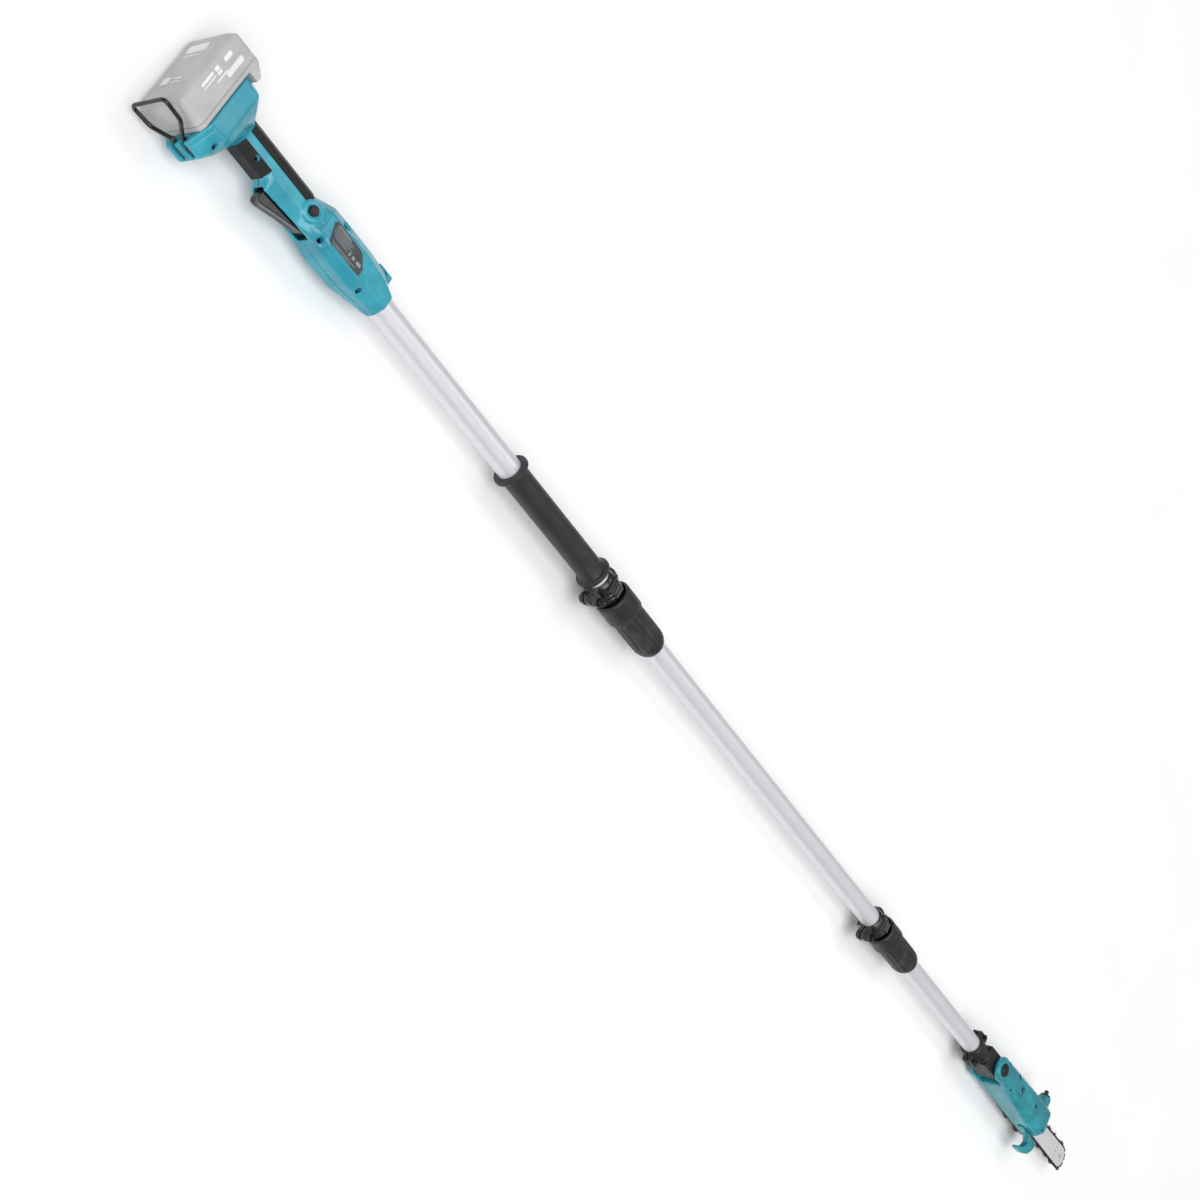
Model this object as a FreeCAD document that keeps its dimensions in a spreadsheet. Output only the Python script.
import FreeCAD, Part
import math
import os
import Sketcher
from FreeCAD import Placement, Rotation, Vector

# Battery pole saw, taken apart into its real pieces.
# Modelling frame: +X runs along the pole towards the saw, +Y is the top of
# the tool (away from the trigger), +Z is the right side of the tool.
# x = 0 is the front end of the handle housing, y = 0 / z = 0 is the pole axis.
# The finished pieces are then shifted so that the tool lies on its left side
# on the plane Z = 0, centred in X and Y.

os.makedirs("parts", exist_ok=True)
doc = FreeCAD.newDocument("pole_saw")
dims = doc.addObject("Spreadsheet::Sheet", "dims")

TABLE = [
    # where the model stands
    ("shift_x", -993.95), ("shift_y", 6.25), ("axis_height", 40.0),
    # pole
    ("tube_rad", 16.5), ("tube_wall", 1.5), ("rear_tube_end", 574.0),
    ("section_pitch", 892.0), ("tube_gap", 4.0), ("front_tube_end", 1884.0),
    # front grip
    ("grip_from", 292.0), ("grip_to", 506.0), ("sleeve_rad", 18.7), ("flange_rad", 25.0),
    # coupler and collar
    ("barrel_rad", 20.0), ("barrel_bore", 16.85), ("barrel_end", 640.0),
    ("bell_rad", 26.6), ("collar_rad", 24.0), ("collar_in", 20.4), ("collar_from", 551.0),
    ("collar_to", 669.0), ("collar_fit", 16.56),
    ("wing_half", 8.0),
    # handle
    ("hgrip_half_y", 19.5), ("hgrip_half_z", 17.0), ("shell_wall", 2.6), ("pad_skin", 1.2),
    ("mount_half", 40.0), ("mount_top", 33.0), ("mount_bottom", -72.0), ("mount_rear", -310.0),
    # battery
    ("pack_half_z", 37.5), ("pack_top", 54.0), ("pack_bottom", -58.0), ("pack_rear", -355.0),
    ("cell_rad", 9.0), ("cell_len", 65.0), ("cell_pitch", 18.8),
    # trigger, lock-off button, loop
    ("trigger_half", 8.0), ("trigger_pivot_x", -134.0), ("trigger_pivot_y", -14.0), ("pin_rad", 2.0),
    ("button_x", -147.0), ("button_y", -2.0), ("button_rad", 7.0),
    ("loop_wire", 2.4), ("loop_pivot_x", -297.0), ("loop_y", -65.0),
    # head
    ("pivot_x", 1937.0), ("ear_rad", 23.0), ("ear_in", 21.3), ("ear_out", 31.0), ("bolt_rad", 5.0),
    ("cap_rad", 14.5), ("head_wall", 2.8), ("split_z", -16.4),
    ("motor_x", 2036.0), ("motor_y", 2.0), ("motor_rad", 21.5), ("rotor_rad", 14.4),
    ("sprocket_x", 2069.0), ("sprocket_y", 3.0), ("gear_rad", 25.0), ("pinion_rad", 7.4),
    ("bar_half", 20.0), ("bar_nose_x", 2326.0), ("bar_z", -12.0), ("bar_thick", 4.0),
    ("chain_out", 5.5), ("knob_rad", 24.5),
]
VAL = {}
for i, (name, v) in enumerate(TABLE):
    dims.set("A%d" % (i + 1), name)
    dims.set("B%d" % (i + 1), repr(v))
    dims.setAlias("B%d" % (i + 1), name)
    VAL[name] = v
doc.recompute()


class Q:
    """A length that is a sum of sheet cells times factors plus a constant."""

    def __init__(self, terms=None, c=0.0):
        self.terms = dict(terms or {})
        self.c = float(c)

    def __add__(self, o):
        o = q(o)
        t = dict(self.terms)
        for k, v in o.terms.items():
            t[k] = t.get(k, 0.0) + v
        return Q(t, self.c + o.c)

    __radd__ = __add__

    def __neg__(self):
        return Q({k: -v for k, v in self.terms.items()}, -self.c)

    def __sub__(self, o):
        return self + (-q(o))

    def __rsub__(self, o):
        return q(o) - self

    def __mul__(self, f):
        return Q({k: v * f for k, v in self.terms.items()}, self.c * f)

    __rmul__ = __mul__

    @property
    def v(self):
        return sum(VAL[k] * f for k, f in self.terms.items()) + self.c

    @property
    def text(self):
        out = "%.6f" % self.c
        for k, f in self.terms.items():
            out += " + (%.6f) * dims.%s" % (f, k)
        return out


def q(x):
    return x if isinstance(x, Q) else Q({}, x)


def D(name, f=1.0):
    return Q({name: f})


def bind(obj, prop, value):
    value = q(value)
    obj.setExpression(prop, value.text)


COUNT = [0]


def uid(tag):
    COUNT[0] += 1
    return "%s_%03d" % (tag, COUNT[0])


def put(obj, at=(0, 0, 0), rot=None):
    at = [q(a) for a in at]
    r = rot if rot is not None else Rotation()
    obj.Placement = Placement(Vector(*[a.v for a in at]), r)
    for ax, a in zip("xyz", at):
        if a.terms:
            obj.setExpression(".Placement.Base." + ax, a.text)
    return obj


RX = Rotation(Vector(0, 1, 0), 90)      # turns a cylinder's axis to +X
RY = Rotation(Vector(1, 0, 0), -90)     # turns a cylinder's axis to +Y


def cyl(r, length, at=(0, 0, 0), rot=None):
    o = doc.addObject("Part::Cylinder", uid("cyl"))
    o.Radius = q(r).v
    o.Height = q(length).v
    bind(o, "Radius", r)
    bind(o, "Height", length)
    return put(o, at, rot)


def cyl_z(r, z0, z1, x, y):
    return cyl(r, q(z1) - q(z0), (x, y, z0))


def cyl_x(r, x0, x1, y=0.0, z=0.0):
    return cyl(r, q(x1) - q(x0), (x0, y, z), RX)


def cyl_y(r, y0, y1, x, z):
    return cyl(r, q(y1) - q(y0), (x, y0, z), RY)


def box(x0, x1, y0, y1, z0, z1):
    o = doc.addObject("Part::Box", uid("box"))
    for p, a, b in (("Length", x0, x1), ("Width", y0, y1), ("Height", z0, z1)):
        d = q(b) - q(a)
        setattr(o, p, d.v)
        bind(o, p, d)
    return put(o, (x0, y0, z0))


def join(items):
    if len(items) == 1:
        return items[0]
    o = doc.addObject("Part::MultiFuse", uid("fuse"))
    o.Shapes = items
    return o


def cut(base, tools):
    o = doc.addObject("Part::Cut", uid("cut"))
    o.Base = base
    o.Tool = join(tools)
    return o


def common(a, b):
    o = doc.addObject("Part::Common", uid("common"))
    o.Base = a
    o.Tool = b
    return o


def group(items):
    """Separate solids kept in one piece."""
    o = doc.addObject("Part::Compound", uid("group"))
    o.Links = items
    return o


def plane(body, role):
    for f in body.Origin.OriginFeatures:
        if f.Role == role:
            return f
    raise RuntimeError("no plane " + role)


def sketch(body, role, pts, offset=0.0, circles=()):
    sk = body.newObject("Sketcher::SketchObject", uid("sketch"))
    sk.AttachmentSupport = [(plane(body, role), "")]
    sk.MapMode = "FlatFace"
    off = q(offset)
    sk.AttachmentOffset = Placement(Vector(0, 0, off.v), Rotation())
    if off.terms:
        sk.setExpression(".AttachmentOffset.Base.z", off.text)
    pts = [(q(a), q(b)) for a, b in pts]
    n = len(pts)
    for i in range(n):
        a, b = pts[i], pts[(i + 1) % n]
        sk.addGeometry(Part.LineSegment(Vector(a[0].v, a[1].v, 0), Vector(b[0].v, b[1].v, 0)), False)
    for i in range(n):
        sk.addConstraint(Sketcher.Constraint("Coincident", i, 2, (i + 1) % n, 1))
    for i in range(n):
        for kind, val, axis in (("DistanceX", pts[i][0], -2), ("DistanceY", pts[i][1], -1)):
            if abs(val.v) < 1e-9:
                sk.addConstraint(Sketcher.Constraint("PointOnObject", i, 1, axis))
            else:
                k = sk.addConstraint(Sketcher.Constraint(kind, -1, 1, i, 1, val.v))
                if val.terms:
                    label = "%s%d" % (kind[-1].lower() + "p", i)
                    sk.renameConstraint(k, label)
                    sk.setExpression("Constraints." + label, val.text)
    for (cx, cy, r) in circles:
        g = sk.addGeometry(Part.Circle(Vector(q(cx).v, q(cy).v, 0), Vector(0, 0, 1), q(r).v), False)
        k = sk.addConstraint(Sketcher.Constraint("Radius", g, q(r).v))
        label = "rad%d" % g
        sk.renameConstraint(k, label)
        if q(r).terms:
            sk.setExpression("Constraints." + label, q(r).text)
    return sk


def body(tag):
    return doc.addObject("PartDesign::Body", uid(tag))


def pad(role, pts, start, length, b=None):
    """Prism of a polygon. XY grows to +Z, YZ grows to +X, XZ grows to +Y."""
    b = b or body("pad")
    off = -q(start) if role == "XZ_Plane" else q(start)
    sk = sketch(b, role, pts, off)
    p = b.newObject("PartDesign::Pad", uid("pad_feature"))
    p.Profile = sk
    p.Length = q(length).v
    bind(p, "Length", length)
    if role == "XZ_Plane":
        p.Reversed = True
    return b


def rev(pts, axis="X"):
    """Turned piece: pts are (along, radius) for X, (radius, along) for Z."""
    b = body("rev")
    sk = sketch(b, "XY_Plane" if axis == "X" else "XZ_Plane", pts)
    r = b.newObject("PartDesign::Revolution", uid("turn"))
    r.Profile = sk
    r.ReferenceAxis = (sk, ["H_Axis" if axis == "X" else "V_Axis"])
    r.Angle = 360.0
    return b


def loft(sections):
    """Straight-sided loft through polygons in planes across the pole."""
    b = body("loft")
    sks = [sketch(b, "YZ_Plane", pts, x) for x, pts in sections]
    f = b.newObject("PartDesign::AdditiveLoft", uid("loft_feature"))
    f.Profile = sks[0]
    f.Sections = sks[1:]
    f.Ruled = True
    return b


NODES = []


def node(obj, label, at=(0, 0, 0)):
    obj.Label = label
    base = obj.Placement.Base
    rot = obj.Placement.Rotation
    shift = (D("shift_x"), D("shift_y"), D("axis_height"))
    own = []
    for k, a in enumerate(at):
        own.append(q(a) + base[k] + shift[k])
    put(obj, own, rot)
    NODES.append((label, obj))
    return obj


def frustum_poly(ymin, z1, y1, zmax, y2, ymax, z2, s=1.0):
    return [(ymin, 0.0), (ymin, z1 * s), (y1, zmax * s), (y2, zmax * s), (ymax, z2 * s), (ymax, 0.0)]


T = D("tube_rad")

# ---------------------------------------------------------------- handle shells
HANDLE = [
    # x, ymin, z at ymin, y of lower shoulder, zmax, y of upper shoulder, ymax, z at ymax
    (D("mount_rear"), D("mount_bottom"), 18.0, -48.0, D("mount_half"), 24.0, D("mount_top"), 31.0),
    (D("mount_rear") + 23, D("mount_bottom"), 17.5, -47.0, D("mount_half"), 23.0, D("mount_top") - 1, 30.0),
    (D("mount_rear") + 35, -52.0, 13.0, -36.0, 31.0, 15.0, 24.0, 22.0),
    (D("mount_rear") + 48, -D("hgrip_half_y"), 8.0, -11.0, D("hgrip_half_z"), 11.0, D("hgrip_half_y"), 8.0),
    (q(-213.0), -D("hgrip_half_y"), 8.0, -11.0, D("hgrip_half_z"), 11.0, D("hgrip_half_y"), 8.0),
    (q(-205.0), -29.5, 11.8, -13.0, D("hgrip_half_z"), 11.0, D("hgrip_half_y"), 8.0),
    (q(-152.0), -25.5, 12.4, -13.0, D("hgrip_half_z"), 11.0, D("hgrip_half_y"), 8.0),
    (q(-126.0), -25.0, 17.0, -17.0, 27.5, 13.0, 27.0, 16.5),
    (q(-100.0), -28.5, 17.0, -18.0, 27.5, 13.0, 28.0, 16.5),
    (q(-58.0), -28.0, 16.0, -18.5, 27.5, 14.0, 28.5, 16.0),
    (q(-24.0), -22.4, 10.0, -13.0, 23.5, 13.0, 27.5, 13.0),
    (q(0.0), -18.8, 6.5, -8.0, 19.4, 9.0, 19.5, 8.0),
]


def handle_half(s):
    outer = []
    mid = []
    inner = []
    w = D("shell_wall")
    for k, (x, y0, z1, y1, zm, y2, y3, z2) in enumerate(HANDLE):
        outer.append((x, [(y0, 0.05 * s), (y0, q(z1) * s), (y1, q(zm) * s), (y2, q(zm) * s),
                          (y3, q(z2) * s), (y3, 0.05 * s)]))
        # middle of the wall, where the screw bosses end
        mid.append((x, [(q(y0) + 1.3, 0.05 * s), (q(y0) + 1.3, (q(z1) - 0.5) * s), (q(y1) + 0.3, (q(zm) - 1.3) * s),
                        (q(y2) - 0.3, (q(zm) - 1.3) * s), (q(y3) - 1.3, (q(z2) - 0.5) * s), (q(y3) - 1.3, 0.05 * s)]))
    cav = [(D("mount_rear") + 22, HANDLE[1])] + [(h[0], h) for h in HANDLE[2:9]] + [(q(-86.0), HANDLE[9])]
    for x, (xx, y0, z1, y1, zm, y2, y3, z2) in cav:
        inner.append((x, [(q(y0) + w, -1.0 * s), (q(y0) + w, (q(z1) - 1) * s), (q(y1) + 0.6, (q(zm) - w) * s),
                          (q(y2) - 0.6, (q(zm) - w) * s), (q(y3) - w, (q(z2) - 1) * s), (q(y3) - w, -1.0 * s)]))
    shell = loft(outer)
    lug = [box(-34, -8, 22, 35.5, -8.5, 8.5)] if s > 0 else []
    pin_boss = [cyl_z(5.0, 11.0, 22.5, D("trigger_pivot_x"), D("trigger_pivot_y"))] if s > 0 else \
        [cyl_z(5.0, -22.5, -11.0, D("trigger_pivot_x"), D("trigger_pivot_y"))]
    hollow = cut(shell, [loft(inner)])
    whole = join([hollow] + lug + pin_boss)
    z_lo, z_hi = (-1.0, 45.0) if s > 0 else (-45.0, 1.0)
    tools = [
        # bore for the pole's rear tube
        cyl_x(T + 0.02, -90.0, 4.0),
        # undercut channel for the battery's tongue, open at the top
        box(-312.0, D("mount_rear") + 4.0, -46.0, 40.0, -26.0, 26.0),
        box(D("mount_rear") + 4.0, D("mount_rear") + 11.0, -46.0, 40.0, -30.0, 30.0),
        box(D("mount_rear") + 10.9, D("mount_rear") + 24.0, -44.0, 20.0, -24.0, 24.0),
        # pocket for the hanging loop
        box(-314.0, -289.0, -85.0, -58.5, 4.0, 12.2) if s > 0 else box(-314.0, -289.0, -85.0, -58.5, -12.2, -4.0),
        # trigger slot
        box(-207.0, -127.0, -32.0, -14.0, -D("trigger_half") - 0.6, D("trigger_half") + 0.6),
        # lock-off button bore
        cyl_z(D("button_rad") + 0.3, -50.0, 50.0, D("button_x"), D("button_y")),
        # trigger pin bore and loop pin bore
        cyl_z(D("pin_rad"), -20.0, 20.0, D("trigger_pivot_x"), D("trigger_pivot_y")),
        cyl_z(D("pin_rad"), -15.0, 15.0, D("loop_pivot_x"), D("loop_y")),
        # strap and tool eyelet through the lug
        cyl_z(3.2, -12.0, 12.0, -20.0, 30.0),
    ]
    if s < 0:
        # the lug is moulded on the right half and keys into the left one
        tools.append(box(-34.2, -7.8, 21.8, 40.0, -8.7, 2.0))
    # recessed screw wells, right side only carries the heads
    for (x, y, z, top) in SCREWS:
        if s > 0:
            tools.append(cyl_z(3.6, z, 45.0, x, y))
            tools.append(cyl_z(1.7, -2.0, z + 1.0, x, y))
        else:
            tools.append(cyl_z(1.7, -z + 3.0, 2.0, x, y))
    bosses = []
    for (x, y, z, top) in SCREWS:
        if s > 0:
            bosses.append(cyl_z(4.8, 0.05, top, x, y))
        else:
            bosses.append(cyl_z(4.8, -top, -0.05, x, y))
    bosses = [common(join(bosses), loft(mid))]
    return cut(join([whole] + bosses), tools)


# x, y, seat of the recessed head, and how far out its boss reaches
SCREWS = [(-287.0, -54.0, 21.0, 33.0), (-236.0, -14.0, 9.5, 14.0), (-120.0, -19.5, 14.0, 25.0),
          (-104.0, 18.0, 12.0, 22.0), (-42.0, -19.2, 8.0, 20.0)]

right = handle_half(1)
left = handle_half(-1)
node(right, "handle_shell_right")
node(left, "handle_shell_left")

screws = []
for (x, y, z, top) in SCREWS:
    shank = cyl_z(1.65, -z + 3.4, z + 0.9, x, y)
    head = cyl_z(3.2, z + 0.8, z + 3.4, x, y)
    drive = cyl_z(1.3, z + 2.0, z + 4.0, x, y)
    screws.append(cut(join([shank, head]), [drive]))
node(group(screws), "handle_screws")

# ---------------------------------------------------------------- grip rubber
gy, gz, sk_t = D("hgrip_half_y"), D("hgrip_half_z"), D("pad_skin")
lower = [(-9.0, gz + sk_t), (-11.4, gz + sk_t), (-gy - sk_t, 8.6), (-gy - sk_t, -8.6), (-11.4, -gz - sk_t),
         (-9.0, -gz - sk_t), (-9.0, -gz), (-11.0, -gz), (-gy, -8.0), (-gy, 8.0), (-11.0, gz), (-9.0, gz)]
node(cut(pad("YZ_Plane", lower, -261.0, 47.0), [cyl_z(3.6, 9.0, 30.0, -236.0, -14.0)]), "grip_pad_lower")
upper = [(1.5, gz + sk_t), (11.4, gz + sk_t), (gy + sk_t, 8.6), (gy + sk_t, -8.6), (11.4, -gz - sk_t),
         (1.5, -gz - sk_t), (1.5, -gz), (11.0, -gz), (gy, -8.0), (gy, 8.0), (11.0, gz), (1.5, gz)]
node(cut(pad("YZ_Plane", upper, -261.0, 107.5),
         [cyl_z(D("button_rad") + 2.5, -50.0, 50.0, D("button_x"), D("button_y"))]), "grip_pad_upper")

# ---------------------------------------------------------------- battery interface
blades = [box(-304.0, -298.5, -40.0, -22.0, z - 0.5, z + 0.5) for z in (-12.0, 12.0)]
signal = [box(-304.0, -298.5, -40.0, -30.0, -0.4, 0.4)]
node(join([box(-299.0, -290.0, -43.8, 19.8, -23.8, 23.8)] + blades + signal), "terminal_block")

# ---------------------------------------------------------------- switch, board, pins, springs
node(join([box(-206.0, -180.0, 4.0, 14.5, -9.0, 9.0), box(-199.0, -195.0, -4.0, 4.0, -3.0, 3.0)]), "switch_module")
node(join([box(-124.0, -90.0, 2.0, 4.0, -14.0, 14.0), box(-120.0, -108.0, 4.0, 12.0, -8.0, 8.0),
           box(-104.0, -94.0, -4.0, 2.0, -6.0, 6.0)]), "controller_board")
node(cyl_z(D("pin_rad"), -20.0, 20.0, D("trigger_pivot_x"), D("trigger_pivot_y")), "trigger_pin")
coil = [cut(cyl_z(3.4, z, z + 0.7, D("trigger_pivot_x"), D("trigger_pivot_y")),
            [cyl_z(2.2, z - 1, z + 2, D("trigger_pivot_x"), D("trigger_pivot_y"))]) for z in (8.9, 9.8)]
node(group(coil), "trigger_spring")
lsp = [cut(cyl_z(4.0, z, z + 0.7, D("button_x"), D("button_y")),
           [cyl_z(3.2, z - 1, z + 2, D("button_x"), D("button_y"))]) for z in (-13.6, -12.4, -11.2)]
node(group(lsp), "lockoff_spring")

# ---------------------------------------------------------------- trigger
tp = (D("trigger_pivot_x"), D("trigger_pivot_y"))
trig = [(-203.0, -15.5), (-204.5, -37.0), (-201.0, -41.5), (-195.0, -41.0), (-165.0, -31.5), (-139.0, -24.5),
        (-129.0, -20.0), (-128.5, -10.5), (-136.0, -8.5), (-150.0, -14.0)]
node(cut(pad("XY_Plane", trig, -D("trigger_half"), D("trigger_half") * 2),
         [cyl_z(D("pin_rad") + 0.05, -20.0, 20.0, tp[0], tp[1]),
          box(-199.0, -160.0, -30.0, -10.0, -5.5, 5.5)]), "trigger_lever")

# ---------------------------------------------------------------- lock-off button
bx, by, br = D("button_x"), D("button_y"), D("button_rad")
node(join([cyl_z(br, 8.3, 23.0, bx, by), cyl_z(2.9, -19.0, 8.5, bx, by), cyl_z(br, -20.5, -16.0, bx, by)]),
     "lock_off_button")

# ---------------------------------------------------------------- battery
cells = []
for i in range(5):
    for x in (-341.6, -322.6):
        cells.append(cyl(D("cell_rad"), D("cell_len"),
                         (x, Q({"cell_pitch": float(i)}, -43.2), D("cell_len", -0.5))))
node(group(cells), "battery_cells")
ph = D("pack_half_z")
case = [(D("pack_rear"), -ph + 6), (D("pack_rear"), ph - 6), (D("pack_rear") + 6, ph), (-316.0, ph),
        (-316.0, -ph), (D("pack_rear") + 6, -ph)]
case_b = pad("XZ_Plane", case, D("pack_bottom"), D("pack_top") - D("pack_bottom"))
bev = [  # bevels at the two ends of the pack
    pad("XY_Plane", [(-360.0, 40.0), (-360.0, 60.0), (-340.0, 60.0)], -45.0, 90.0),
    pad("XY_Plane", [(-360.0, -44.0), (-340.0, -64.0), (-360.0, -64.0)], -45.0, 90.0),
    pad("YZ_Plane", [(44.0, 45.0), (60.0, 45.0), (60.0, 29.0)], -360.0, 60.0),
    pad("YZ_Plane", [(44.0, -45.0), (60.0, -29.0), (60.0, -45.0)], -360.0, 60.0),
    pad("YZ_Plane", [(-46.0, 45.0), (-62.0, 27.0), (-62.0, 45.0)], -360.0, 60.0),
    pad("YZ_Plane", [(-46.0, -45.0), (-62.0, -45.0), (-62.0, -27.0)], -360.0, 60.0),
]
recess = box(-341.0, -300.0, 44.5, 60.0, -14.0, 14.0)
room = common(pad("XZ_Plane", [(-352.9, -30.6), (-352.9, 30.6), (-350.2, 33.6), (-310.0, 33.6), (-310.0, -33.6),
                               (-350.2, -33.6)], -52.8, 95.3),
              pad("XY_Plane", [(-352.9, -46.5), (-346.6, -52.8), (-310.0, -52.8), (-310.0, 42.5), (-352.9, 42.5)],
                  -40.0, 80.0))
node(cut(case_b, bev + [room, recess]), "battery_case")
lid = box(-315.9, D("mount_rear") - 0.4, D("pack_bottom"), D("pack_top"), -ph, ph)
tongue = [box(D("mount_rear") - 0.5, D("mount_rear") + 4.5, -45.4, 32.0, -25.5, 25.5),
          box(D("mount_rear") + 4.5, D("mount_rear") + 10.4, -45.4, 32.0, -29.5, 29.5)]
slots = [box(-305.2, -298.0, -47.0, -18.0, z - 1.5, z + 1.5) for z in (-12.0, 0.0, 12.0)]
foot = pad("XY_Plane", [(-315.9, 34.4), (-315.9, 54.0), (-313.0, 54.0), (-297.0, 42.0), (-297.0, 34.4)], -ph, ph * 2)
bev2 = [
    pad("YZ_Plane", [(44.0, 45.0), (60.0, 45.0), (60.0, 29.0)], -320.0, 26.0),
    pad("YZ_Plane", [(44.0, -45.0), (60.0, -29.0), (60.0, -45.0)], -320.0, 26.0),
    pad("YZ_Plane", [(-46.0, 45.0), (-62.0, 27.0), (-62.0, 45.0)], -320.0, 12.0),
    pad("YZ_Plane", [(-46.0, -45.0), (-62.0, -45.0), (-62.0, -27.0)], -320.0, 12.0),
]
node(cut(join([lid, foot] + tongue), slots + bev2 + [box(-317.0, -313.2, -52.8, 42.5, -33.6, 33.6), box(-318.0, -309.0, 44.5, 60.0, -14.0, 14.0)]), "battery_cover")
node(join([pad("XY_Plane", [(-336.0, 46.0), (-336.0, 54.0), (-333.0, 56.5), (-319.0, 56.5), (-316.5, 54.0),
                            (-316.5, 46.0)], -12.5, 25.0),
           box(-325.0, -312.5, 47.0, 52.0, -5.0, 5.0)]), "battery_release_button")

# ---------------------------------------------------------------- hanging loop
lw, lx, ly = D("loop_wire"), D("loop_pivot_x"), D("loop_y")
path_pts = [(-299.2, 7.2), (-313.0, 9.0), (-333.0, 27.0), (-361.0, 29.0)]


def loop_wire_shape():
    pts = [Vector(a, VAL["loop_y"], b) for a, b in path_pts]
    pts += [Vector(a, VAL["loop_y"], -b) for a, b in reversed(path_pts)]
    r = [5.0, 12.0, 6.0, 6.0, 12.0, 5.0]
    edges = []
    cur = pts[0]
    for i in range(1, len(pts) - 1):
        p0, p1, p2 = pts[i - 1], pts[i], pts[i + 1]
        u = (p0 - p1).normalize()
        w = (p2 - p1).normalize()
        half = u.getAngle(w) / 2.0
        d = r[i - 1] / math.tan(half)
        a = p1 + u * d
        b = p1 + w * d
        c = p1 + (u + w).normalize() * (r[i - 1] / math.sin(half))
        m = c + (p1 - c).normalize() * r[i - 1]
        edges.append(Part.LineSegment(cur, a).toShape())
        edges.append(Part.Arc(a, m, b).toShape())
        cur = b
    edges.append(Part.LineSegment(cur, pts[-1]).toShape())
    wire = Part.Wire(edges)
    prof = Part.Wire([Part.Circle(pts[0], (pts[1] - pts[0]).normalize(), VAL["loop_wire"]).toShape()])
    tube = wire.makePipeShell([prof], True, True)
    print("loop tube volume", round(tube.Volume, 1), "section x length",
          round(math.pi * VAL["loop_wire"] ** 2 * wire.Length, 1))
    return tube


loop_tube = doc.addObject("Part::Feature", "loop_tube")
loop_tube.Shape = loop_wire_shape()
eyes = [cyl_z(4.6, 4.6, 9.6, lx, ly), cyl_z(4.6, -9.6, -4.6, lx, ly)]
node(cut(join([loop_tube] + eyes), [cyl_z(D("pin_rad") + 0.05, -15.0, 15.0, lx, ly)]), "hanging_loop")
node(cyl_z(D("pin_rad"), -15.0, 15.0, lx, ly), "loop_pin")

# ---------------------------------------------------------------- rating plate
node(pad("XY_Plane", [(-121.5, 7.0), (-114.0, -14.5), (-109.5, -16.6), (-62.0, -16.6), (-58.4, -13.0),
                      (-59.0, -4.5), (-70.0, 8.6), (-75.0, 10.6), (-118.5, 11.4)], 27.5, 0.6), "rating_plate")


# ---------------------------------------------------------------- pole
def tube(x0, x1):
    return cut(cyl_x(T, x0, x1), [cyl_x(T - D("tube_wall"), q(x0) - 1, q(x1) + 1)])


PITCH = D("section_pitch")
END1 = D("rear_tube_end")
node(tube(-84.0, END1), "rear_tube")
node(tube(END1 + D("tube_gap"), END1 + PITCH), "middle_tube")
node(tube(END1 + PITCH + D("tube_gap"), D("front_tube_end")), "front_tube")

g0, g1, sr, fr = D("grip_from"), D("grip_to"), D("sleeve_rad"), D("flange_rad")
node(rev([(g0, T), (g0, fr - 2.0), (g0 + 1.5, fr - 0.5), (g0 + 4.5, fr), (g0 + 7.0, fr - 1.5), (g0 + 9.5, sr + 1.6),
          (g0 + 13.0, sr), (g1 - 17.0, sr), (g1 - 12.5, sr + 1.8), (g1 - 9.5, fr - 1.5), (g1 - 6.0, fr),
          (g1 - 2.0, fr - 0.5), (g1, fr - 2.5), (g1, T)]), "front_grip")


def coupler(dx):
    """Split clamp with two wings and a barrel that the collar closes over."""
    br_, bb = D("barrel_rad"), D("barrel_bore")
    barrel = rev([(q(515.0) + dx, T), (q(515.0) + dx, T + 1.8), (q(519.0) + dx, T + 4.2), (q(547.0) + dx, T + 4.8),
                  (q(549.0) + dx, br_), (D("barrel_end") + dx, br_), (D("barrel_end") + dx, bb),
                  (END1 + dx + 1.0, bb), (END1 + dx + 1.0, T)])
    wh = D("wing_half")
    wing = pad("XY_Plane", [(q(514.0) + dx, -17.5), (q(508.5) + dx, -28.0), (q(507.0) + dx, -34.5),
                            (q(509.5) + dx, -39.0), (q(514.5) + dx, -41.0), (q(522.0) + dx, -40.0),
                            (q(536.0) + dx, -33.0), (q(546.5) + dx, -24.0), (q(546.5) + dx, -17.0)], -wh, wh * 2)
    wing_up = pad("XY_Plane", [(q(516.0) + dx, 17.5), (q(518.0) + dx, 22.0), (q(522.0) + dx, 25.5),
                               (q(530.0) + dx, 27.0), (q(540.0) + dx, 25.5), (q(547.0) + dx, 21.0),
                               (q(547.0) + dx, 17.0)], -wh * 0.75, wh * 1.5)
    side = box(q(522.0) + dx, q(546.0) + dx, -9.0, 9.0, 17.5, 23.0)
    side2 = box(q(522.0) + dx, q(546.0) + dx, -9.0, 9.0, -23.0, -17.5)
    rib = [box(q(522.0) + dx, q(525.0) + dx, -14.0, 14.0, -23.8, 23.8)]
    return cut(join([barrel, wing, wing_up, side, side2] + rib),
               [cyl_x(T, q(500.0) + dx, END1 + dx + 0.5),
                cyl_x(bb, END1 + dx, D("barrel_end") + dx + 5.0),
                box(q(500.0) + dx, q(548.0) + dx, -45.0, -10.0, -0.9, 0.9),
                cyl_z(2.6, -20.0, 20.0, q(533.0) + dx, -26.5)])


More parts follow.
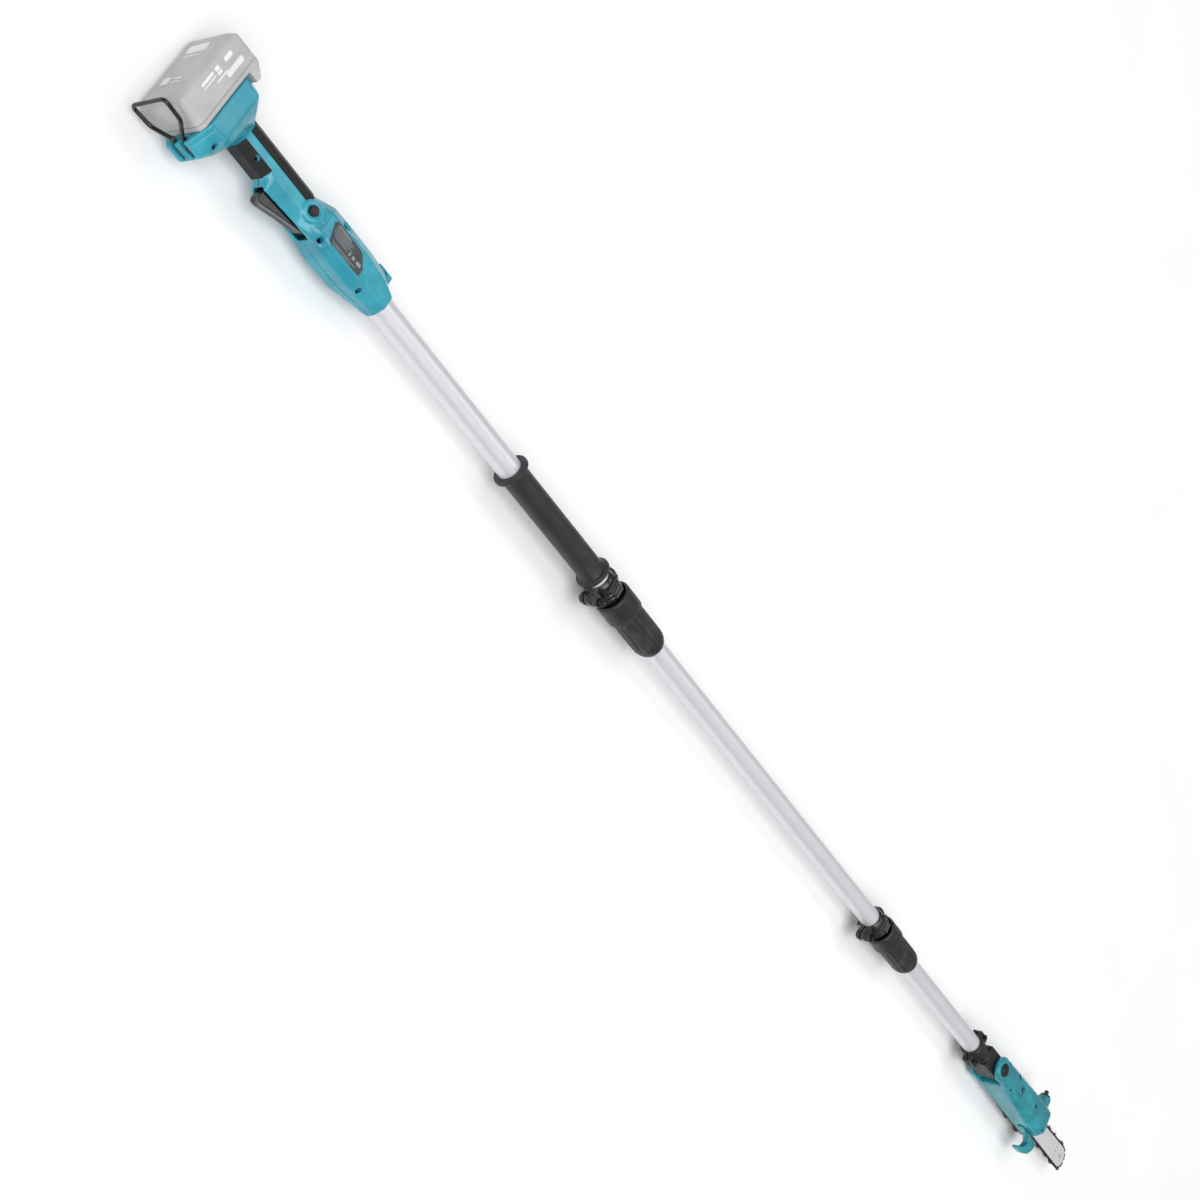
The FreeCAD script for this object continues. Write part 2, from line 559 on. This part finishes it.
def coupler_screw(dx):
    hexagon = [(q(533.0) + dx + 5.6 * math.cos(math.radians(a)), -26.5 + 5.6 * math.sin(math.radians(a)))
               for a in range(0, 360, 60)]
    head = pad("XY_Plane", hexagon, D("wing_half"), 4.2)
    nut = pad("XY_Plane", hexagon, -D("wing_half") - 3.6, 3.6)
    return cut(join([head, nut, cyl_z(2.6, -11.0, 10.0, q(533.0) + dx, -26.5)]),
               [cyl_z(2.4, 10.2, 14.0, q(533.0) + dx, -26.5)])


def collar(dx):
    br_, cr, ci, cf = D("bell_rad"), D("collar_rad"), D("collar_in"), D("collar_fit")
    x0, x1 = D("collar_from") + dx, D("collar_to") + dx
    b = rev([(x0, br_ - 3.6), (x0 + 1.0, br_ - 1.2), (x0 + 4.0, br_), (x0 + 31.0, br_ + 0.1), (x0 + 39.0, cr + 1.2),
             (x0 + 42.0, cr), (x1 - 22.0, cr), (x1 - 12.0, cr - 1.0), (x1 - 5.0, cr - 3.4), (x1, cr - 6.2),
             (x1, cf), (x1 - 27.0, cf), (x1 - 27.0, ci), (x0 + 12.0, ci), (x0 + 6.0, ci + 1.6), (x0, ci + 2.4)])
    doc.recompute()
    v0 = b.Shape.Volume
    sk = sketch(b, "YZ_Plane", [], x1 - 14.0, circles=[(cr + 1.4, 0.0, q(2.4))])
    sk.addConstraint(Sketcher.Constraint("PointOnObject", 0, 3, -1))
    k = sk.addConstraint(Sketcher.Constraint("DistanceX", -1, 1, 0, 3, (cr + 1.4).v))
    sk.renameConstraint(k, "groove_at")
    sk.setExpression("Constraints.groove_at", (cr + 1.4).text)
    p = b.newObject("PartDesign::Pocket", uid("groove"))
    p.Profile = sk
    p.Length = 60.0
    doc.recompute()
    if not b.Shape.Volume < v0 - 5:
        p.Reversed = True
        doc.recompute()
    v1 = b.Shape.Volume
    pat = b.newObject("PartDesign::PolarPattern", uid("ribs"))
    pat.Originals = [p]
    pat.Axis = (sk, ["N_Axis"])
    pat.Angle = 360.0
    pat.Occurrences = 14
    b.Tip = pat
    doc.recompute()
    print("collar volumes", round(v0), round(v1), round(b.Shape.Volume))
    # the turning axis of the pattern must be the pole axis
    return b


node(coupler(q(0.0)), "coupler_1")
node(coupler_screw(q(0.0)), "coupler_1_screw")
node(collar(q(0.0)), "collar_1")
node(coupler(PITCH), "coupler_2")
node(coupler_screw(PITCH), "coupler_2_screw")
node(collar(PITCH), "collar_2")

# internal lead in three lengths, with its push-together connectors
def plug(x, dx):
    return [cyl_x(12.0, END1 + 6.0 + dx, q(604.0) + dx)] + \
        [cyl_x(1.2, END1 - 10.0 + dx, END1 + 7.0 + dx, y, 0.0) for y in (-5.0, 5.0)]


def socket_(dx):
    return cut(cyl_x(12.0, q(548.0) + dx, q(572.0) + dx),
               [cyl_x(1.6, q(560.0) + dx, q(575.0) + dx, y, 0.0) for y in (-5.0, 5.0)])


node(join([cyl_x(3.2, -85.0, 548.5), socket_(q(0.0))]), "cable_rear")
node(join(plug(0, q(0.0)) + [cyl_x(3.2, 603.5, q(548.5) + PITCH), socket_(PITCH)]), "cable_middle")
node(join(plug(0, PITCH) + [cyl_x(3.2, q(603.5) + PITCH, 1900.0)]), "cable_front")

# ---------------------------------------------------------------- neck at the head end of the pole
px = D("pivot_x")
neck_sleeve = cyl_x(20.0, 1847.0, 1898.0)
plate = [box(1853.0, 1880.0, 17.0, 30.0, -9.0, 9.0), box(1853.0, 1880.0, -31.0, -17.0, -9.0, 9.0),
         cyl_x(21.5, 1851.0, 1858.0)]
knuckle = [box(1886.0, px, -19.5, 19.5, -20.9, 20.9), cyl_z(19.5, -20.9, 20.9, px, 0.0)]
node(cut(join([neck_sleeve] + plate + knuckle),
         [cyl_x(T, 1840.0, D("front_tube_end")), cyl_z(D("bolt_rad") + 0.05, -30.0, 30.0, px, 0.0),
          cyl_x(3.6, 1880.0, 1905.0),
          cyl_z(2.3, -12.0, 12.0, 1866.0, 24.8), cyl_z(2.3, -12.0, 12.0, 1866.0, -24.8),
          box(1845.0, 1881.0, 15.0, 40.0, -0.8, 0.8), box(1845.0, 1881.0, -40.0, -15.0, -0.8, 0.8)]), "neck")
nscr = []
for y in (24.8, -24.8):
    nscr.append(cut(join([cyl_z(2.3, -11.0, 9.5, 1866.0, y), cyl_z(4.2, 9.0, 12.6, 1866.0, y),
                          cyl_z(4.0, -12.2, -9.0, 1866.0, y)]), [cyl_z(2.0, 11.0, 14.0, 1866.0, y)]))
node(group(nscr), "neck_screws")

# ---------------------------------------------------------------- head housing
HEAD = [
    (1960.0, -23.0, 20.0, 31.0, 20.0, 29.0, 21.0),
    (2060.0, -28.5, 20.0, 32.0, 21.0, 31.0, 21.0),
    (2130.0, -29.0, 20.0, 32.5, 22.0, 33.0, 21.0),
    (2162.0, -29.0, 16.0, 30.0, 22.0, 32.0, 19.0),
]


def head_sections(w, ends=None):
    out = []
    for k, (x, y0, z1, zm, y2, y3, z2) in enumerate(HEAD):
        if ends:
            x = ends[k]
        a = D("head_wall") * (1.0 if w else 0.0)
        y0_, y3_, zm_ = q(y0) + a, q(y3) - a, q(zm) - a
        z1_, z2_ = q(z1) - a * 0.4, q(z2) - a * 0.4
        yl, yu = q(-18.0) + a * 0.4, q(y2) - a * 0.4
        out.append((x, [(y0_, -z1_), (y0_, z1_), (yl, zm_), (yu, zm_), (y3_, z2_), (y3_, -z2_), (yu, -zm_),
                        (yl, -zm_)]))
    return out


def ear(s):
    z0, z1 = (D("ear_in"), D("ear_out")) if s > 0 else (-D("ear_out"), -D("ear_in"))
    disc = cyl_z(D("ear_rad"), z0, z1, px, 0.0)
    arm = box(px, 1962.5, -21.5, 22.0, z0, z1)
    return [disc, arm]


outer = loft(head_sections(False))
inner = loft(head_sections(True, [1963.0, 2060.0, 2130.0, 2159.0]))
sz = D("split_z")
lobe = [cyl_y(12.0, 24.0, 47.0, 2147.0, 12.0), cyl_y(12.6, 38.0, 44.0, 2147.0, 12.0)]
knuckle_room = cyl_z(20.5, -21.2, 21.2, px, 0.0)
bolt_bore = cyl_z(D("bolt_rad"), -40.0, 40.0, px, 0.0)
HSCREWS = [(1985.0, -16.0, 17.0), (2000.0, 19.0, 17.0), (2148.0, -17.0, 17.0)]
hb = [cyl_z(4.6, sz + 0.1 if x < 2100 else q(-5.2), 30.2, x, y) for x, y, z in HSCREWS]
vents = [box(2016.0 + 5 * i, 2018.2 + 5 * i, -14.0 + 2 * i, -4.0 + 2 * i, 26.0, 40.0) for i in range(3)]
vents += [box(2070.0, 2084.0, 12.0 + 3.6 * i, 13.6 + 3.6 * i, 26.0, 40.0) for i in range(3)]
r_block = box(1950.0, 2165.0, -40.0, 45.0, sz, 45.0)
shell_r = cut(join([common(outer, r_block)] + ear(1) + lobe[:1] + lobe[1:]), [inner])
shell_r = cut(join([shell_r] + hb),
              [knuckle_room, bolt_bore,
               box(2150.0, 2170.0, -24.5, 28.5, -20.0, -7.6),
               cyl_y(7.0, 20.0, 60.0, 2147.0, 12.0),
               cyl_z(3.7, 28.9, 40.0, 2090.0, 3.0)] + vents +
              [cyl_z(3.6, z, 45.0, x, y) for x, y, z in HSCREWS] +
              [cyl_z(1.7, sz - 1.0 if x < 2100 else q(-5.3), z + 1.0, x, y) for x, y, z in HSCREWS])
node(shell_r, "head_shell_right")

outer2 = loft(head_sections(False))
inner2 = loft(head_sections(True, [1963.0, 2060.0, 2130.0, 2159.0]))
l_block = box(1950.0, 2039.7, -40.0, 45.0, -45.0, sz - 0.2)
shell_l = cut(join([common(outer2, l_block)] + ear(-1)), [inner2])
shell_l = cut(join([shell_l] + [cyl_z(4.4, -28.9, sz - 0.2, x, y) for x, y, z in HSCREWS[:2]]),
              [cyl_z(20.5, -21.2, 21.2, px, 0.0), cyl_z(D("bolt_rad"), -40.0, 40.0, px, 0.0)] +
              [cyl_z(1.7, -27.0, -14.0, x, y) for x, y, z in HSCREWS[:2]])
node(shell_l, "head_shell_left")

hscr = []
for x, y, z in HSCREWS:
    hscr.append(cut(join([cyl_z(1.65, -4.6 if x > 2100 else -26.0, z + 0.9, x, y),
                          cyl_z(3.2, z + 0.8, z + 3.4, x, y)]), [cyl_z(1.3, z + 2.0, z + 4.0, x, y)]))
node(group(hscr), "head_screws")

outer3 = loft([(2040.0, head_sections(False)[0][1]), (2080.0, head_sections(False)[1][1]),
               (2160.0, head_sections(False)[2][1]),
               (2192.0, [(-26.0, -15.0), (-26.0, 15.0), (-16.0, 30.0), (18.0, 30.0), (27.0, 12.0), (27.0, -12.0),
                         (18.0, -30.0), (-16.0, -30.0)])])
inner3 = loft([(2043.0, head_sections(True)[0][1]), (2080.0, head_sections(True)[1][1]),
               (2160.0, head_sections(True)[2][1]),
               (2189.0, [(-23.5, -14.0), (-23.5, 14.0), (-15.0, 27.0), (17.0, 27.0), (24.5, 11.0), (24.5, -11.0),
                         (17.0, -27.0), (-15.0, -27.0)])])
c_block = box(2039.9, 2195.0, -40.0, 45.0, -45.0, sz - 0.2)
cover = cut(common(outer3, c_block),
            [inner3, cyl_z(4.4, -40.0, -15.0, 2121.0, 3.0), cyl_z(4.4, -40.0, -15.0, 2176.0, -8.0)])
node(cover, "sprocket_cover")

# pivot bolt and its two caps
node(cyl_z(D("bolt_rad"), -D("ear_out"), D("ear_out"), px, 0.0), "pivot_bolt")
capz = D("ear_out")
caps = []
for s in (1, -1):
    c = rev([(0.0, 0.0), (D("cap_rad"), 0.0), (D("cap_rad"), 1.4), (D("cap_rad") - 1.4, 3.0), (6.0, 3.6), (0.0, 3.6)],
            "Z")
    if s > 0:
        put(c, (px, 0.0, capz))
    else:
        c.Placement = Placement(Vector(px.v, 0, -capz.v), Rotation(Vector(1, 0, 0), 180))
    caps.append(c)
node(group(caps), "pivot_caps")

# ---------------------------------------------------------------- motor and drive
mx, my = D("motor_x"), D("motor_y")
node(cut(cyl_z(D("motor_rad"), 3.0, 25.0, mx, my), [cyl_z(15.0, 2.0, 28.0, mx, my)]), "motor_stator")
node(join([cyl_z(D("rotor_rad"), 4.0, 24.0, mx, my), cyl_z(2.5, -6.0, 26.6, mx, my)]), "motor_rotor")


def gear(r_out, r_root, teeth, z0, z1, bore, x, y):
    pts = []
    for i in range(teeth):
        a = 2 * math.pi / teeth
        for f, rr in ((-0.30, r_root), (-0.14, r_out), (0.14, r_out), (0.30, r_root)):
            ang = a * (i + f)
            pts.append((rr * math.cos(ang), rr * math.sin(ang)))
    g = pad("XY_Plane", pts, z0, z1 - z0)
    c = cut(g, [cyl_z(bore, z0 - 1, z1 + 1, 0.0, 0.0)])
    return put(c, (x, y, 0.0))


sx, sy = D("sprocket_x"), D("sprocket_y")
g = gear(7.4, 5.6, 10, -4.6, 0.6, 2.5, mx, my)
node(g, "motor_pinion")
g = gear(25.0, 23.0, 38, -4.2, 0.2, 5.0, sx, sy)
node(g, "spur_gear")
node(cyl_z(5.0, -16.2, 3.4, sx, sy), "sprocket_shaft")
g = gear(15.4, 12.0, 7, -14.6, -9.4, 5.0, sx, sy)
node(g, "drive_sprocket")
node(cut(box(1990.0, 2156.0, -20.4, 26.0, -7.4, -5.4),
         [cyl_z(5.3, -10.0, 0.0, sx, sy), cyl_z(2.8, -10.0, 0.0, mx, my)] +
         [cyl_z(4.8, -10.0, 0.0, x, y) for x, y, z in HSCREWS[:2]]), "gear_plate")
bear = [cut(cyl_z(8.5, -8.9 - 0.0, -7.45, sx, sy), [cyl_z(5.05, -12.0, -5.0, sx, sy)]),
        cut(cyl_z(8.4, 0.6, 2.9, sx, sy), [cyl_z(5.05, -1.0, 5.0, sx, sy)])]
node(group(bear), "sprocket_bearings")
tank = cut(box(2112.0, 2154.5, -10.0, 21.0, -4.8, 24.5), [box(2114.0, 2152.5, -8.0, 19.0, -2.8, 22.5)])
neck_t = cyl_y(6.8, 20.9, 40.0, 2147.0, 12.0)
node(cut(join([tank, neck_t]), [cyl_y(4.6, 18.0, 45.0, 2147.0, 12.0)]), "oil_tank")

# ---------------------------------------------------------------- bar and chain
BZ, BT, BH, NX = D("bar_z"), D("bar_thick"), D("bar_half"), D("bar_nose_x")


def loop_face(x0, r0, x1, r1, y):
    """Wire round two circles and their outer tangents."""
    dx_ = x1 - x0
    a = math.acos((r0 - r1) / dx_)
    c0, c1 = Vector(x0, y, 0), Vector(x1, y, 0)

    def pt(c, r, ang):
        return Vector(c.x + r * math.cos(ang), c.y + r * math.sin(ang), 0)
    t0, t1 = pt(c0, r0, a), pt(c1, r1, a)
    b0, b1 = pt(c0, r0, -a), pt(c1, r1, -a)
    return Part.Wire([Part.LineSegment(t0, t1).toShape(), Part.Arc(t1, pt(c1, r1, 0), b1).toShape(),
                      Part.LineSegment(b1, b0).toShape(), Part.Arc(b0, pt(c0, r0, math.pi), t0).toShape()])


def plate_solid(wire, z0, z1):
    f = Part.Face(wire)
    f.translate(Vector(0, 0, z0))
    return f.extrude(Vector(0, 0, z1 - z0))


V = VAL
bz, bt = V["bar_z"], V["bar_thick"]
bar_o = plate_solid(loop_face(2106.0, 16.6, V["bar_nose_x"], V["bar_half"], V["sprocket_y"]), bz - bt / 2, bz + bt / 2)
slot = Part.makeBox(46.0, 8.2, 10.0, Vector(2104.0, V["sprocket_y"] - 4.1, bz - 5))
hole = Part.makeCylinder(2.6, 10.0, Vector(2090.0, V["sprocket_y"] + 10.5, bz - 5))
bar = doc.addObject("Part::Feature", "guide_bar")
bar.Shape = bar_o.cut(slot)
node(bar, "guide_bar")
ch_o = plate_solid(loop_face(V["sprocket_x"], 17.6 + V["chain_out"], V["bar_nose_x"],
                             V["bar_half"] + 0.4 + V["chain_out"], V["sprocket_y"]), bz - 3.2, bz + 3.2)
ch_i = plate_solid(loop_face(V["sprocket_x"], 17.6, V["bar_nose_x"], V["bar_half"] + 0.4, V["sprocket_y"]),
                   bz - 5, bz + 5)
chain = doc.addObject("Part::Feature", "saw_chain")
chain_ring = ch_o.cut(ch_i)
cutters = []
r_rear, r_nose = 17.6 + V["chain_out"], V["bar_half"] + 0.4 + V["chain_out"]
for i in range(9):
    x = 2172.0 + i * 17.0
    edge = r_rear + (r_nose - r_rear) * (x - V["sprocket_x"]) / (V["bar_nose_x"] - V["sprocket_x"])
    for s in (1, -1):
        yb = V["sprocket_y"] + s * (edge - 1.2)
        if s < 0:
            yb = yb - 3.2
        cutters.append(Part.makeBox(8.0, 3.2, 5.0, Vector(x, yb, bz - 2.5)))
solid = chain_ring
for c in cutters:
    solid = solid.fuse(c)
chain.Shape = solid.removeSplitter()
node(chain, "saw_chain")

# two studs hold the bar; the knob closes the cover, the other sets the chain
node(group([cyl_z(4.0, -35.0, -7.45, 2121.0, 3.0)]), "bar_stud")
knob = rev([(4.05, 0.0), (20.0, 0.0), (20.0, -0.8), (D("knob_rad"), -1.5), (D("knob_rad"), -4.6), (19.5, -6.6),
            (3.0, -7.2), (0.0, -7.2), (0.0, -2.6), (4.05, -2.6)], "Z")
k = cut(knob, [cyl_z(2.4, -10.0, 1.0, q(25.6) * math.cos(math.radians(a)), q(25.6) * math.sin(math.radians(a)))
               for a in range(0, 360, 30)])
put(k, (2121.0, 3.0, -32.8))
# smaller knob in front of it, on its own screw
tens = rev([(0.0, 8.0), (3.2, 8.0), (3.2, 0.0), (12.5, 0.0), (15.0, -1.0), (15.0, -4.6), (12.0, -6.8), (0.0, -7.2)], "Z")
k2 = cut(tens, [box(-10.0, 10.0, -1.2, 1.2, -9.0, -5.4)])
put(k2, (2176.0, -8.0, -32.8))
node(k, "cover_knob")
node(k2, "tension_knob")

# ---------------------------------------------------------------- branch hook and oil cap
hook = [(2118.0, -27.0), (2188.0, -27.0), (2190.0, -36.0), (2183.0, -50.0), (2170.0, -62.0), (2152.0, -69.0),
        (2130.0, -69.5), (2127.0, -65.0), (2140.0, -60.5), (2153.0, -54.0), (2160.0, -44.0), (2156.0, -36.0),
        (2140.0, -32.6), (2118.0, -31.5)]
node(cut(pad("XY_Plane", hook, -7.0, 14.0), [
    # seat against the underside of the housing
    box(2110.0, 2163.0, -29.3, -20.0, -10.0, 10.0), box(2163.0, 2195.0, -31.0, -20.0, -10.0, 10.0),
    cyl_z(2.0, -10.0, 10.0, 2176.0, -36.0)]), "branch_hook")
oc = rev([(0.0, 0.0), (9.6, 0.0), (9.6, 2.6), (8.2, 3.8), (4.2, 4.2), (4.2, 11.0), (3.0, 12.2), (0.0, 12.2)], "Z")
cap = join([oc, cyl_z(4.25, -6.0, 0.2, 0.0, 0.0)])
cap.Placement = Placement(Vector(2147.0, 47.3, 12.0), Rotation(Vector(1, 0, 0), -90))
node(cap, "oil_cap")

# ---------------------------------------------------------------- checks and files
doc.recompute()
bad = [o.Name + " " + str(o.State) for o in doc.Objects if "Invalid" in o.State or "Error" in o.State]
if bad:
    raise RuntimeError("failed objects: " + ", ".join(bad))
if len(NODES) > 60:
    raise RuntimeError("too many files: %d" % len(NODES))
for label, o in NODES:
    s = o.Shape
    if s.isNull() or not s.isValid():
        raise RuntimeError("bad shape " + label)
total = None
for label, o in NODES:
    s = o.Shape
    bb = s.BoundBox
    total = bb if total is None else total.united(bb)
    print("%-24s solids %2d vol %10.1f  x %8.1f %8.1f  y %7.1f %7.1f  z %6.1f %6.1f" % (
        label, len(s.Solids), s.Volume, bb.XMin, bb.XMax, bb.YMin, bb.YMax, bb.ZMin, bb.ZMax))
    s.exportStep("parts/%s.step" % label)
print("pieces", len(NODES), "box", total)
